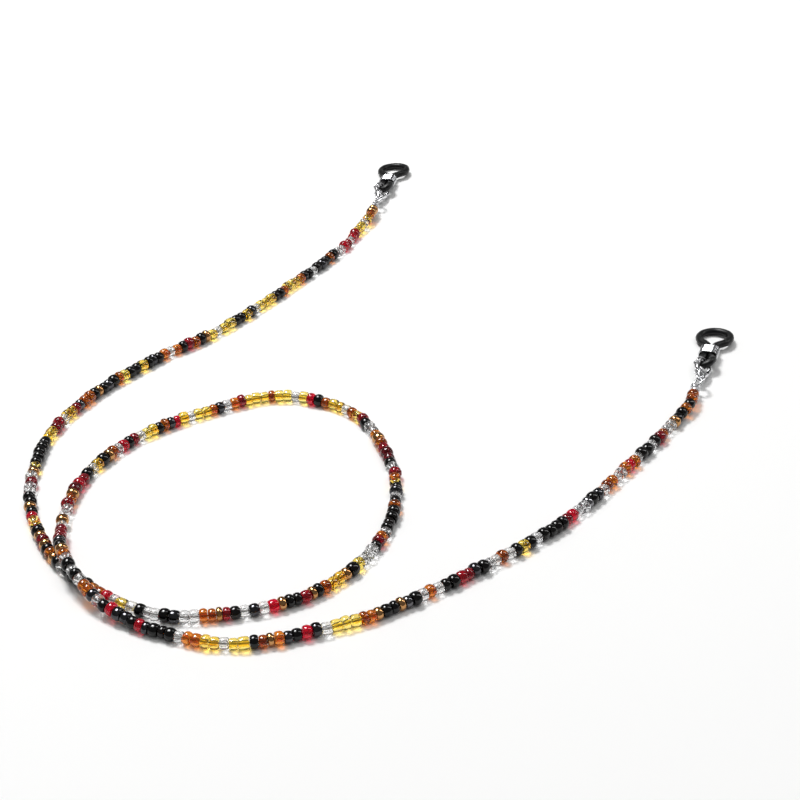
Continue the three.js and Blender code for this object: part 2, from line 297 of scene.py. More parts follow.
def band_faces(rows, around, closed=False):
    """Quads between rings of points, and from the last ring to the first if closed."""
    faces = []
    for i in range(rows if closed else rows - 1):
        low, high = i * around, (i + 1) % rows * around
        for k in range(around):
            n = (k + 1) % around
            faces.append((low + k, low + n, high + n, high + k))
    return faces


def sweep(line, radius, around):
    """Vertices and faces of a round tube along the line. Its ends are closed and a little narrower."""
    line = np.array(line, float)
    start_inset = unit(line[1] - line[0]) * END_INSET * radius
    end_inset = unit(line[-1] - line[-2]) * END_INSET * radius
    line = np.vstack([line[0], line[0] + start_inset, line[1:-1], line[-1] - end_inset, line[-1]])
    radii = np.full(len(line), radius)
    radii[[0, -1]] *= END_NARROWING
    u, v = carried_frames(line)
    angles = np.linspace(0, 2 * math.pi, around, endpoint=False)
    ring = np.cos(angles)[None, :, None] * u[:, None] + np.sin(angles)[None, :, None] * v[:, None]
    verts = (line[:, None] + radii[:, None, None] * ring).reshape(-1, 3)
    faces = band_faces(len(line), around)
    faces.append(tuple(range(around - 1, -1, -1)))
    faces.append(tuple(range(len(verts) - around, len(verts))))
    return verts, faces


def lathe(profile, around):
    """Vertices and faces of a profile of (radius, y) points turned about the y axis."""
    verts = []
    rings = []
    for radius, y in profile:
        if radius == 0:
            rings.append([len(verts)] * around)
            verts.append((0, y, 0))
            continue
        rings.append([len(verts) + k for k in range(around)])
        for k in range(around):
            angle = 2 * math.pi * k / around
            verts.append((radius * math.sin(angle), y, radius * math.cos(angle)))
    faces = []
    for low, high in zip(rings, rings[1:]):
        for k in range(around):
            n = (k + 1) % around
            face = tuple(dict.fromkeys((low[k], low[n], high[n], high[k])))
            if len(face) > 2:
                faces.append(face)
    return np.array(verts, float), faces


def surface_net(field, low, high, step):
    """Vertices and quads round the space where field(x, y, z) is below zero, on a grid of this step."""
    axes = [np.arange(a, b + step, step) for a, b in zip(low, high)]
    values = field(*np.meshgrid(*axes, indexing="ij"))
    inside = values < 0
    cells = tuple(n - 1 for n in values.shape)

    def corner(array, offset):
        return array[tuple(slice(o, o + n) for o, n in zip(offset, cells))]

    total = np.zeros(cells + (3,))
    count = np.zeros(cells)
    corners = [(i, j, k) for i in (0, 1) for j in (0, 1) for k in (0, 1)]
    for a in corners:
        for axis in range(3):
            if a[axis]:
                continue
            b = tuple(o + (n == axis) for n, o in enumerate(a))
            va, vb = corner(values, a), corner(values, b)
            crosses = (va < 0) != (vb < 0)
            share = np.where(crosses, va / np.where(crosses, va - vb, 1), 0)
            for n in range(3):
                total[..., n] += crosses * (a[n] + share * (n == axis))
            count += crosses
    used = count > 0
    index = np.full(cells, -1)
    index[used] = np.arange(used.sum())
    # Each vertex is the mean of the places where the surface crosses its cell's edges
    verts = np.array(low) + step * (np.argwhere(used) + total[used] / count[used][:, None])
    # One quad round each grid edge that the surface crosses, between the four cells that share it
    faces = []
    for axis in range(3):
        u, v = (axis + 1) % 3, (axis + 2) % 3
        here = [slice(1, n) for n in cells]
        here[axis] = slice(0, cells[axis])
        there = list(here)
        there[axis] = slice(1, cells[axis] + 1)
        now, after = inside[tuple(here)], inside[tuple(there)]
        spots = np.argwhere(now != after) + [0 if n == axis else 1 for n in range(3)]
        outward = now[now != after]
        back_u, back_v = np.eye(3, dtype=int)[u], np.eye(3, dtype=int)[v]
        ring = [spots - back_u - back_v, spots - back_v, spots, spots - back_u]
        quads = np.stack([index[tuple(cell.T)] for cell in ring], axis=1)
        quads[~outward] = quads[~outward][:, ::-1]
        faces.append(quads)
    return verts, np.vstack(faces).tolist()


def transformed(verts, matrix):
    m = np.array(matrix)
    return np.asarray(verts) @ m[:3, :3].T + m[:3, 3]


def make_piece(name, *parts):
    """One smooth mesh object from (vertices, faces) parts."""
    verts, faces = [], []
    for part_verts, part_faces in parts:
        base = sum(len(v) for v in verts)
        verts.append(np.asarray(part_verts, float))
        faces.extend(tuple(int(i) + base for i in face) for face in part_faces)
    mesh = bpy.data.meshes.new(name)
    mesh.from_pydata(np.vstack(verts).tolist(), [], faces)
    mesh.validate()
    mesh.shade_smooth()
    piece = bpy.data.objects.new(name, mesh)
    bpy.context.scene.collection.objects.link(piece)
    return piece


def attach(piece, body, node, look):
    """Puts a piece on its body, in place of the part's node, with the look of its record slot."""
    piece.data.materials.append(MATERIALS[look])
    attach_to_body(piece, body)
    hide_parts(node)


# ---------------------------------------------------------------- strand

LINE = smooth_line(ROUTE)
ALONG = distances(LINE)
TANGENTS = unit(np.gradient(LINE, axis=0))


def on_line(distance, values=LINE):
    return np.array([np.interp(distance, ALONG, values[:, n]) for n in range(3)])


def make_thread():
    head = LINE[0] - unit(LINE[1] - LINE[0]) * THREAD_TAIL
    tail = LINE[-1] + unit(LINE[-1] - LINE[-2]) * THREAD_TAIL
    path = np.vstack([head, LINE, tail])
    data = bpy.data.curves.new("thread", "CURVE")
    data.dimensions = "3D"
    data.bevel_depth = THREAD_DIAMETER / 2
    data.bevel_resolution = 3
    data.use_fill_caps = True
    spline = data.splines.new("POLY")
    spline.points.add(len(path) - 1)
    for point, place in zip(spline.points, path):
        point.co = (*place, 1)
    thread = bpy.data.objects.new("thread", data)
    bpy.context.scene.collection.objects.link(thread)
    return thread, float(distances(path)[-1])


def bead_places(rng):
    """Each bead's letter, distance along the strand and length."""
    rows = [(start * MM, letters) for start, letters in BEAD_ORDER]
    stops = [start for start, _ in rows[1:]] + [ALONG[-1]]
    places = []
    for (start, letters), stop in zip(rows, stops):
        weights = [BEAD_KINDS[letter][1] * rng.uniform(*LENGTH_SPREAD) for letter in letters]
        at = start
        for letter, weight in zip(letters, weights):
            length = weight * (stop - start) / sum(weights)
            places.append((letter, at + length / 2, length))
            at += length
    return places


def bead_mesh(letter, distance, length, rng):
    """One seed bead in its place: a rounded section turned about the thread, a little uneven."""
    _, _, radius, squareness = BEAD_KINDS[letter]
    radius *= rng.uniform(*RADIUS_SPREAD)
    bore = BEAD_BORE * rng.uniform(*BORE_SPREAD)
    half = (length - BEAD_GAP) / 2
    power = 2 / (squareness * rng.uniform(*SQUARENESS_SPREAD))
    turn = np.linspace(0, 2 * math.pi, BEAD_ACROSS, endpoint=False)
    bulge = np.sign(np.cos(turn)) * np.abs(np.cos(turn)) ** power
    width = np.sign(np.sin(turn)) * np.abs(np.sin(turn)) ** power
    across = (radius + bore) / 2 + (radius - bore) / 2 * bulge
    along = half * width
    angle = np.linspace(0, 2 * math.pi, BEAD_AROUND, endpoint=False)
    slant = rng.uniform(0, SLANT)
    slant_way = rng.uniform(0, 2 * math.pi)
    oval = 1 - rng.uniform(0, OVALNESS) * np.cos(angle + rng.uniform(0, 2 * math.pi)) ** 2
    r = across[:, None] * oval[None, :]
    x = along[:, None] * (1 + slant * (across / radius)[:, None] * np.cos(angle - slant_way)[None, :])
    local = np.stack([x, r * np.cos(angle), r * np.sin(angle)], axis=-1).reshape(-1, 3)
    centre = on_line(distance)
    centre[2] += radius - STRAND_RADIUS
    way = Vector(on_line(distance, TANGENTS))
    level = way.cross(Vector((0, 0, 1))).normalized()
    centre += np.array(level) * rng.uniform(-BEAD_SHIFT, BEAD_SHIFT)
    turn_to = way.to_track_quat("X", "Z").to_matrix()
    tilt = Matrix.Rotation(math.radians(rng.gauss(0, TILT_LEVEL)), 3, "Z")
    tilt = tilt @ Matrix.Rotation(math.radians(rng.gauss(0, TILT_UPRIGHT)), 3, "Y")
    placed = local @ np.array(turn_to @ tilt).T + centre
    return placed, band_faces(BEAD_ACROSS, BEAD_AROUND, closed=True)


def make_beads():
    rng = random.Random(BEAD_SEED)
    groups = {kind: [] for kind, *_ in BEAD_KINDS.values()}
    tones = {kind: [] for kind in groups}
    for letter, distance, length in bead_places(rng):
        kind = BEAD_KINDS[letter][0]
        groups[kind].append(bead_mesh(letter, distance, length, rng))
        tones[kind].append(rng.random())
    pieces = {}
    for kind, parts in groups.items():
        piece = make_piece(f"beads_{kind}", *parts)
        tone = piece.data.attributes.new("tone", "FLOAT", "POINT")
        each = BEAD_AROUND * BEAD_ACROSS
        tone.data.foreach_set("value", np.repeat(tones[kind], each).astype(np.float32))
        pieces[kind] = piece
    return pieces


# ---------------------------------------------------------------- places of the links

def joint(side, name):
    return next(j for j in frame["joints"] if j["name"] == f"{side}_{name}")


def place(origin, x_way, y_way):
    """The transform of a link drawn in its own x and y."""
    x_way, y_way = Vector(x_way).normalized(), Vector(y_way).normalized()
    z_way = x_way.cross(y_way)
    rotation = Matrix((x_way, y_way, z_way)).transposed().to_4x4()
    return Matrix.Translation(origin) @ rotation


def link_places(side):
    """Where each link of this side's chain lies, from the joints of the frame."""
    ring_hinge, clasp_hinge = joint(side, "ring_swing"), joint(side, "clasp_swing")
    loop_hinge, slide = joint(side, "loop_swing"), joint(side, "coil_slide")
    way = (Vector(clasp_hinge["pos_m"]) - Vector(ring_hinge["pos_m"])).normalized()
    strand_end = Vector(ROUTE[0] if side == "left" else ROUTE[-1])
    eye = Vector(loop_hinge["pos_m"]) - way * CLASP_HINGE_Y
    loop_way = Vector(slide["axis"])
    level = loop_way.cross(Vector((0, 0, 1))).normalized()
    rolled = Matrix.Rotation(LOOP_ROLL, 3, loop_way) @ level
    return {
        "tip": place(strand_end, ring_hinge["axis"], way),
        "ring": place(Vector(clasp_hinge["pos_m"]) - way * RING_RADIUS, clasp_hinge["axis"], way),
        "clasp": place(eye, loop_hinge["axis"], way),
        "loop": place(eye + way * LOOP_Y, rolled, loop_way),
    }


# ---------------------------------------------------------------- fittings

def arc(centre, radius, start, stop, steps):
    angles = np.linspace(math.radians(start), math.radians(stop), steps)
    return [(centre[0] + radius * math.cos(a), centre[1] + radius * math.sin(a)) for a in angles]


def rounded_shoulder(inner, outer, start, stop, steps=6):
    """A quarter turn of a profile from (inner, start) out to (outer, stop)."""
    turns = [math.pi / 2 * n / steps for n in range(steps + 1)]
    return [(inner + (outer - inner) * math.sin(t), stop + (start - stop) * math.cos(t)) for t in turns]


def make_bead_tip(side, where):
    """A clamshell bead tip: a round shell with a seam on each side, and a bent wire loop."""
    low, top = TIP_START, TIP_START + TIP_LENGTH
    inner = TIP_RADIUS - TIP_WALL
    outside = rounded_shoulder(TIP_HOLE, TIP_RADIUS, low, low + TIP_SHOULDER)
    outside += rounded_shoulder(0, TIP_RADIUS, top, top - TIP_SHOULDER)[::-1]
    low, top = low + TIP_WALL, top - TIP_WALL
    inside = rounded_shoulder(TIP_HOLE, inner, low, low + TIP_INNER_SHOULDER)
    inside += rounded_shoulder(0, inner, top, top - TIP_INNER_SHOULDER)[::-1]
    verts, faces = lathe([*outside, *inside[::-1], outside[0]], around=64)
    angle = np.arctan2(verts[:, 0], verts[:, 2])
    seam = np.exp(-((np.abs(np.sin(angle)) / TIP_SEAM_WIDTH) ** 2))
    outer_skin = np.hypot(verts[:, 0], verts[:, 2]) > inner
    verts[:, [0, 2]] *= (1 - TIP_SEAM_DEPTH * seam * outer_skin)[:, None]
    centre = (0, TIP_START + TIP_LENGTH + TIP_LOOP_RADIUS - TIP_WIRE / 2)
    bent = arc(centre, TIP_LOOP_RADIUS, *TIP_LOOP_ARC, steps=64)
    loop = [(x, y, TIP_LOOP_WANDER * math.sin(n / 4)) for n, (x, y) in enumerate(bent)]
    wire_verts, wire_faces = sweep(loop, TIP_WIRE, around=14)
    shell = (transformed(verts, where), faces)
    piece = make_piece(f"{side}_tip_shell", shell, (transformed(wire_verts, where), wire_faces))
    attach(piece, "strand", f"{side}_bead_tip", "dull_steel")


def make_crimp(side, where):
    """A crimped tube: a short ring squeezed flat across its middle."""
    stop = CRIMP_START + CRIMP_LENGTH
    rows = np.linspace(CRIMP_START, stop, CRIMP_ROWS)
    outside = [(CRIMP_RADIUS, y) for y in rows]
    outside[0] = (CRIMP_RADIUS - CRIMP_EDGE, CRIMP_START)
    outside[-1] = (CRIMP_RADIUS - CRIMP_EDGE, stop)
    inside = [(CRIMP_BORE, y) for y in rows[::-1]]
    verts, faces = lathe([*outside, *inside, outside[0]], around=32)
    pinch = np.exp(-(((verts[:, 1] - (CRIMP_START + stop) / 2) / CRIMP_PINCH_WIDTH) ** 2))
    outer_skin = np.hypot(verts[:, 0], verts[:, 2]) > (CRIMP_RADIUS + CRIMP_BORE) / 2
    verts[:, 2] *= 1 - CRIMP_PINCH * pinch * outer_skin
    piece = make_piece(f"{side}_crimp", (transformed(verts, where), faces))
    attach(piece, "strand", f"{side}_crimp_bead", "dull_steel")


def make_jump_ring(side, where):
    """A ring of round wire, cut through once and closed again, a little out of true at the cut."""
    turns = np.radians(np.linspace(RING_CUT, RING_CUT + 360 - RING_GAP, 120))
    steps = np.linspace(-RING_STEP, RING_STEP, len(turns))
    ring = [(RING_RADIUS * math.cos(t), RING_RADIUS * math.sin(t), z) for t, z in zip(turns, steps)]
    verts, faces = sweep(ring, RING_WIRE, around=20)
    piece = make_piece(f"{side}_ring_wire", (transformed(verts, where), faces))
    attach(piece, f"{side}_ring", f"{side}_jump_ring", "ring_steel")


def polygon_distance(x, y, corners):
    """Distance from a closed outline: negative inside it."""
    nearest = np.full(x.shape, np.inf)
    inside = np.zeros(x.shape, bool)
    for (ax, ay), (bx, by) in zip(corners, [*corners[1:], corners[0]]):
        ex, ey = bx - ax, by - ay
        t = np.clip(((x - ax) * ex + (y - ay) * ey) / (ex * ex + ey * ey), 0, 1)
        nearest = np.minimum(nearest, np.hypot(x - ax - t * ex, y - ay - t * ey))
        spans = (ay > y) != (by > y)
        inside ^= spans & (x < ax + (y - ay) * ex / (ey if ey else 1))
    return np.where(inside, -nearest, nearest)


def soft_join(a, b, blend):
    """a and b together, with the seam between them filled over blend."""
    share = np.clip(0.5 + 0.5 * (b - a) / blend, 0, 1)
    return b + (a - b) * share - blend * share * (1 - share)


def soft_cut(a, b, blend):
    """a with b taken away, with the edge eased over blend."""
    return -soft_join(-a, b, blend)


def millimetres(points):
    return [(x * MM, y * MM) for x, y in points]


def eased(values, knots):
    """A curve through (place, height) knots that is level at each knot."""
    places, heights = zip(*knots)
    spans = np.interp(values, places, range(len(knots)))
    whole = np.floor(spans)
    share = spans - whole
    return np.interp(whole + share * share * (3 - 2 * share), range(len(knots)), heights)


def cut_corners(corners):
    """The closed outline with each corner cut off a fifth of the way along its sides, and again."""
    points = np.array(corners)
    for _ in range(2):
        after = np.roll(points, -1, axis=0)
        cut = [0.8 * points + 0.2 * after, 0.2 * points + 0.8 * after]
        points = np.stack(cut, axis=1).reshape(-1, 2)
    return points.tolist()


def rivet_bore(x, y):
    """Below zero inside the hole that the rivet goes through."""
    return np.hypot(x - PIVOT.x, y - PIVOT.y) - RIVET_RADIUS - RIVET_CLEARANCE


def clasp_field(x, y, z):
    """Below zero inside the clasp's body: eye, drop-shaped body and hook, cut by mouth and slot."""
    shoulder = math.degrees(math.asin((CLASP_FLANK[-1][1] * MM - HEAD_Y) / HEAD_RADIUS))
    right = millimetres(CLASP_FLANK)
    left = [(-px, py) for px, py in right[::-1]]
    outline = [*right, *arc((0, HEAD_Y), HEAD_RADIUS, shoulder, 180 - shoulder, 60), *left]
    opening = arc((0, HEAD_Y), HEAD_BORE, 0, 180, 40) + arc((0, WAIST_Y), WAIST_RADIUS, 180, 360, 30)
    flat_x, flat_y = x[:, :, :1], y[:, :, :1]
    flat = polygon_distance(flat_x, flat_y, outline)
    flat = soft_cut(flat, polygon_distance(flat_x, flat_y, opening), HOLE_EASE)
    flat = soft_cut(flat, polygon_distance(flat_x, flat_y, millimetres(MOUTH)), MOUTH_EASE)
    half = eased(flat_y, millimetres(CLASP_HALF_THICKNESS))
    edge = np.clip(1 + flat / eased(flat_y, millimetres(CLASP_RIM)), 0, None)
    body = (np.sqrt(edge**2 + (z / half) ** 2) - 1) * CLASP_FALL
    eye = np.hypot(np.hypot(x, y) - EYE_RADIUS, z) - EYE_WIRE
    body = soft_join(body, eye, EYE_EASE)
    (x0, x1), (y0, y1), half_slot = SLOT
    sides = [x0 * MM - x, x - x1 * MM, y0 * MM - y, y - y1 * MM, np.abs(z) - half_slot * MM]
    body = soft_cut(body, np.maximum.reduce(sides), HOLE_EASE)
    return soft_cut(body, rivet_bore(x, y), BORE_EASE)


def lever_field(x, y, z):
    """Below zero inside the lever: a hub, a bar that closes the mouth, and a thumb nub."""
    hub = arc((PIVOT.x, PIVOT.y), LEVER_HUB, 180, 360, 20)
    outline = cut_corners([*hub, *millimetres(LEVER_EDGE)])
    flat = polygon_distance(x[:, :, :1], y[:, :, :1], outline)
    z0, z1 = (v * MM for v in LEVER_Z)
    away = np.abs(z - (z0 + z1) / 2) - (z1 - z0) / 2
    inside = np.minimum(np.maximum(flat, away) + LEVER_EASE, 0)
    outside = np.hypot(np.maximum(flat + LEVER_EASE, 0), np.maximum(away + LEVER_EASE, 0))
    return soft_cut(outside + inside - LEVER_EASE, rivet_bore(x, y), LEVER_BORE_EASE)


def make_clasp_body(side, where):
    span = HEAD_RADIUS + CLASP_MARGIN
    low = (-span, -(EYE_RADIUS + EYE_WIRE) - CLASP_MARGIN, -CLASP_HALF_DEPTH)
    high = (span, HEAD_Y + span, CLASP_HALF_DEPTH)
    verts, faces = surface_net(clasp_field, low, high, CLASP_STEP)
    piece = make_piece(f"{side}_clasp_casting", (transformed(verts, where), faces))
    attach(piece, f"{side}_clasp", f"{side}_clasp_body", "clasp_steel")


def make_lever(side, where):
    hub_end = PIVOT.y - LEVER_HUB - LEVER_MARGIN * MM
    low = (LEVER_BOX_X[0] * MM, hub_end, (LEVER_Z[0] - LEVER_MARGIN) * MM)
    high = (LEVER_BOX_X[1] * MM, LEVER_BOX_TOP * MM, (LEVER_Z[1] + LEVER_MARGIN) * MM)
    verts, faces = surface_net(lever_field, low, high, LEVER_STEP)
    piece = make_piece(f"{side}_lever_plate", (transformed(verts, where), faces))
    attach(piece, f"{side}_lever", f"{side}_clasp_lever", "clasp_steel")


def make_rivet(side, where):
    """A pin with a domed head on each end, upright through the pivot."""
    crown = RIVET_HALF_LENGTH + RIVET_DOME
    dome = rounded_shoulder(0, RIVET_HEAD, crown, RIVET_HALF_LENGTH + RIVET_RIM)
    half = [*dome, (RIVET_HEAD, RIVET_HALF_LENGTH), (RIVET_RADIUS, RIVET_HALF_LENGTH)]
    verts, faces = lathe([*[(r, -y) for r, y in half], *half[::-1]], around=32)
    upright = where @ Matrix.Translation(PIVOT) @ Matrix.Rotation(math.pi / 2, 4, "X")
    piece = make_piece(f"{side}_rivet_pin", (transformed(verts, upright), faces))
    attach(piece, f"{side}_clasp", f"{side}_clasp_rivet", "clasp_steel")


def make_spring(side, where):
    turns = np.linspace(0, 2 * math.pi * SPRING_TURNS, SPRING_POINTS)
    x = PIVOT.x + SPRING_RADIUS * np.cos(turns)
    y = PIVOT.y + SPRING_RADIUS * np.sin(turns)
    z = np.linspace(*SPRING_Z, SPRING_POINTS) * MM
    verts, faces = sweep(np.stack([x, y, z], axis=1), SPRING_WIRE, around=10)
    piece = make_piece(f"{side}_spring_wire", (transformed(verts, where), faces))
    attach(piece, f"{side}_clasp", f"{side}_clasp_spring", "dull_steel")


def rubber_line():
    """The rubber cord's centre line: one leg, the small end, the other leg and the large end."""
    half = [(0.0, 0.0), *SMALL_END, *[(LEG_X, y) for y in NECK_Y], *LARGE_END, (0.0, CROWN_Y)]
    butt = next(n for n, (_, y) in enumerate(half) if y > BUTT_Y)
    points = [
        (LEG_X, BUTT_Y - BUTT_GAP / 2),
        *half[1:butt][::-1],
        *[(-x, y) for x, y in half],
        *half[butt:-1][::-1],
        (LEG_X, BUTT_Y + BUTT_GAP / 2),
    ]
    twisted = []
    for x, y in points:
        share = min(max((y - TWIST_Y[0]) / (TWIST_Y[1] - TWIST_Y[0]), 0), 1)
        turn = SMALL_END_TWIST * (1 - share * share * (3 - 2 * share))
        twisted.append((x * MM * math.cos(turn), y * MM, -x * MM * math.sin(turn)))
    return smooth_line(twisted, per_span=14)


def make_rubber_loop(side, where):
    verts, faces = sweep(rubber_line(), RUBBER_RADIUS, around=28)
    piece = make_piece(f"{side}_rubber_cord", (transformed(verts, where), faces))
    attach(piece, f"{side}_connector", f"{side}_rubber_loop", "rubber")


def stadium_point(share, half_width, radius):
    """A point on a stadium outline about the two legs, from its share of the way round."""
    straight, curve = 2 * half_width, math.pi * radius
    run = (share % 1) * 2 * (straight + curve)
    if run < straight:
        return (-half_width + run, -radius)
    if run < straight + curve:
        turn = (run - straight) / radius - math.pi / 2
        return (half_width + radius * math.cos(turn), radius * math.sin(turn))
    if run < 2 * straight + curve:
        return (half_width - (run - straight - curve), radius)
    turn = (run - 2 * straight - curve) / radius + math.pi / 2
    return (-half_width + radius * math.cos(turn), radius * math.sin(turn))


def make_coil(side, where):
    low, high = COIL_Y[0] * MM + COIL_WIRE, COIL_Y[1] * MM - COIL_WIRE
    steps = COIL_TURNS * COIL_POINTS
    line = []
    for n in range(steps + 1):
        x, z = stadium_point(n / COIL_POINTS, LEG_X * MM, COIL_RADIUS)
        line.append((x, low + (high - low) * n / steps, z))
    verts, faces = sweep(line, COIL_WIRE, around=14)
    piece = make_piece(f"{side}_coil_wire", (transformed(verts, where), faces))
    attach(piece, f"{side}_slider", f"{side}_coil_slider", "coil_wire")


# ---------------------------------------------------------------- materials

class Look:
    """A material with its Principled node, and short ways to add the nodes that feed it."""

    def __init__(self, name):
        self.name = name
        self.material = bpy.data.materials.new(name)
        self.material.use_nodes = True
        self.tree = self.material.node_tree
        self.shader = self.tree.nodes["Principled BSDF"]
        self.output = self.tree.nodes["Material Output"]
        self.place = self.node("ShaderNodeTexCoord").outputs["Object"]

    def node(self, kind, **values):
        node = self.tree.nodes.new(kind)
        for key, value in values.items():
            setattr(node, key, value)
        return node

    def link(self, source, target):
        self.tree.links.new(source, target)

    def set(self, **values):
        for key, value in values.items():
            self.shader.inputs[key.replace("_", " ")].default_value = value

    def noise(self, scale, detail=3.0, roughness=0.5):
        node = self.node("ShaderNodeTexNoise")
        node.inputs["Scale"].default_value = scale
        node.inputs["Detail"].default_value = detail
        node.inputs["Roughness"].default_value = roughness
        self.link(self.place, node.inputs["Vector"])
        return node.outputs["Fac"]

    def tone(self):
        return self.node("ShaderNodeAttribute", attribute_name="tone").outputs["Fac"]

    def ramp(self, source, *stops):
        node = self.node("ShaderNodeValToRGB")
        ramp = node.color_ramp
        while len(ramp.elements) < len(stops):
            ramp.elements.new(0.5)
        for element, (position, colour) in zip(ramp.elements, stops):
            element.position = position
            element.color = (*colour, 1)
        self.link(source, node.inputs["Fac"])
        return node.outputs["Color"]

    def spread(self, source, low, high):
        node = self.node("ShaderNodeMapRange")
        node.inputs["From Min"].default_value, node.inputs["From Max"].default_value = NOISE_RANGE
        node.inputs["To Min"].default_value = low
        node.inputs["To Max"].default_value = high
        self.link(source, node.inputs["Value"])
        return node.outputs["Result"]

    def mix(self, share, first, second):
        """Mixes two colours, each fixed or from a node, by a node's share."""
        node = self.node("ShaderNodeMix", data_type="RGBA")
        self.link(share, node.inputs["Factor"])
        for value, socket in ((first, node.inputs[6]), (second, node.inputs[7])):
            if isinstance(value, bpy.types.NodeSocket):
                self.link(value, socket)
            else:
                socket.default_value = (*value, 1)
        return node.outputs[2]

    def bump(self, height, distance, strength=1.0):
        node = self.node("ShaderNodeBump")
        node.inputs["Strength"].default_value = strength
        node.inputs["Distance"].default_value = distance
        self.link(height, node.inputs["Height"])
        self.link(node.outputs["Normal"], self.shader.inputs["Normal"])

    def light_through(self, colour):
        """Lets lamps shine through the glass in its own colour, for coloured shadows."""
        clear = self.node("ShaderNodeBsdfTransparent")
        clear.inputs["Color"].default_value = (*colour, 1)
        rays = self.node("ShaderNodeLightPath").outputs["Is Shadow Ray"]
        blend = self.node("ShaderNodeMixShader")
        self.link(rays, blend.inputs["Fac"])
        self.link(self.shader.outputs["BSDF"], blend.inputs[1])
        self.link(clear.outputs["BSDF"], blend.inputs[2])
        self.link(blend.outputs["Shader"], self.output.inputs["Surface"])


def clear_glass(
    name, pale, middle, deep, shadow, transmission=1.0, roughness=(0.01, 0.06), specular=0.5
):
    """Clear coloured glass, paler or deeper from bead to bead, with faint streaks and ripples."""
    look = Look(name)
    look.set(IOR=1.5, Transmission_Weight=transmission, Specular_IOR_Level=specular)
    by_bead = look.ramp(look.tone(), (0.0, pale), (0.6, middle), (1.0, deep))
    streaks = look.spread(look.noise(900, detail=2.0), 0.0, 0.3)
    colour = look.mix(streaks, by_bead, deep)
    look.link(colour, look.shader.inputs["Base Color"])
    look.link(look.spread(look.noise(2500), *roughness), look.shader.inputs["Roughness"])
    look.bump(look.noise(500, detail=1.0), 0.03 * MM, strength=0.12)
    look.light_through(shadow)
    return look


def opaque_glass(name, dark, light, roughness, metallic=0.0, specular=0.5):
    """Opaque glossy glass with a faint cast that changes from bead to bead."""
    look = Look(name)
    look.set(IOR=1.5, Metallic=metallic, Specular_IOR_Level=specular)
    by_bead = look.ramp(look.tone(), (0.0, dark), (0.7, dark), (1.0, light))
    colour = look.mix(look.spread(look.noise(700, detail=3.0), 0.0, 0.25), by_bead, light)
    look.link(colour, look.shader.inputs["Base Color"])
    look.link(look.spread(look.noise(3000), *roughness), look.shader.inputs["Roughness"])
    look.bump(look.noise(600, detail=1.0), 0.03 * MM, strength=0.15)
    return look


def steel(name, colour, roughness, scratch):
    """Plated steel with fine scratches, soft stains and a slightly uneven polish."""
    look = Look(name)
    look.set(Metallic=1.0)
    stain = look.spread(look.noise(350, detail=4.0, roughness=0.6), 0.0, 0.35)
    darker = tuple(0.72 * c for c in colour)
    look.link(look.mix(stain, colour, darker), look.shader.inputs["Base Color"])
    look.link(look.spread(look.noise(1800, detail=5.0), *roughness), look.shader.inputs["Roughness"])
    look.bump(look.noise(5200, detail=6.0, roughness=0.7), scratch)
    return look


def rubber():
    """Satin black rubber with a fine moulded grain and a little dust."""
    look = Look("rubber")
    look.set(IOR=1.5, Specular_IOR_Level=0.25)
    dust = look.spread(look.noise(500, detail=5.0, roughness=0.65), 0.0, 0.5)
    colour = look.mix(dust, (0.002, 0.002, 0.0022), (0.007, 0.007, 0.0075))
    look.link(colour, look.shader.inputs["Base Color"])
    look.link(look.spread(look.noise(2600, detail=4.0), 0.28, 0.44), look.shader.inputs["Roughness"])
    look.bump(look.noise(7000, detail=3.0), 0.03 * MM)
    return look


def thread_look():
    """Grey coated beading thread, slightly twisted."""
    look = Look("thread")
    look.set(IOR=1.45, Transmission_Weight=0.2)
    wave = look.node("ShaderNodeTexWave")
    wave.inputs["Scale"].default_value = 1400
    look.link(look.place, wave.inputs["Vector"])
    colour = look.mix(wave.outputs["Fac"], (0.28, 0.27, 0.25), (0.5, 0.48, 0.46))
    look.link(colour, look.shader.inputs["Base Color"])
    look.link(look.spread(look.noise(2000), 0.3, 0.5), look.shader.inputs["Roughness"])
    look.bump(wave.outputs["Fac"], 0.03 * MM, strength=0.6)
    return look


def floor_look():
    look = Look("floor")
    look.set(Roughness=0.6, Specular_IOR_Level=0.0)
    shade = look.spread(look.noise(3, detail=2.0), 0.0, 1.0)
    colour = look.mix(shade, (0.93, 0.93, 0.925), (0.95, 0.95, 0.945))
    look.link(colour, look.shader.inputs["Base Color"])
    return look


# ---------------------------------------------------------------- light and floor

def add_area_light(name, offset, size, power, in_reflections=True, on_surfaces=True):
    data = bpy.data.lights.new(name, "AREA")
    data.shape = "RECTANGLE"
    data.size, data.size_y = size
    data.energy = power
    lamp = bpy.data.objects.new(name, data)
    bpy.context.scene.collection.objects.link(lamp)
    lamp.location = CAMERA_TARGET + Vector(offset)
    lamp.rotation_euler = (-Vector(offset)).to_track_quat("-Z", "Y").to_euler()
    lamp.visible_glossy = in_reflections
    lamp.visible_diffuse = on_surfaces
    lamp.visible_transmission = False


def make_light():
    world = bpy.data.worlds.new("studio")
    bpy.context.scene.world = world
    world.use_nodes = True
    background = world.node_tree.nodes["Background"]
    background.inputs["Color"].default_value = (1.0, 1.0, 1.0, 1)
    background.inputs["Strength"].default_value = WORLD_LIGHT
    add_area_light("key_light", (-0.42, 0.55, 1.3), (0.4, 0.4), 16.5)
    add_area_light("fill_light", (0.3, -0.3, 1.6), (1.6, 1.6), 8.5, in_reflections=False)
    add_area_light("softbox", (-0.5, 0.3, 1.4), (0.7, 0.7), 22, on_surfaces=False)
    add_area_light("strip_light", (0.9, 0.3, 0.9), (0.15, 1.2), 5, on_surfaces=False)
    bpy.context.scene.view_settings.view_transform = "Standard"


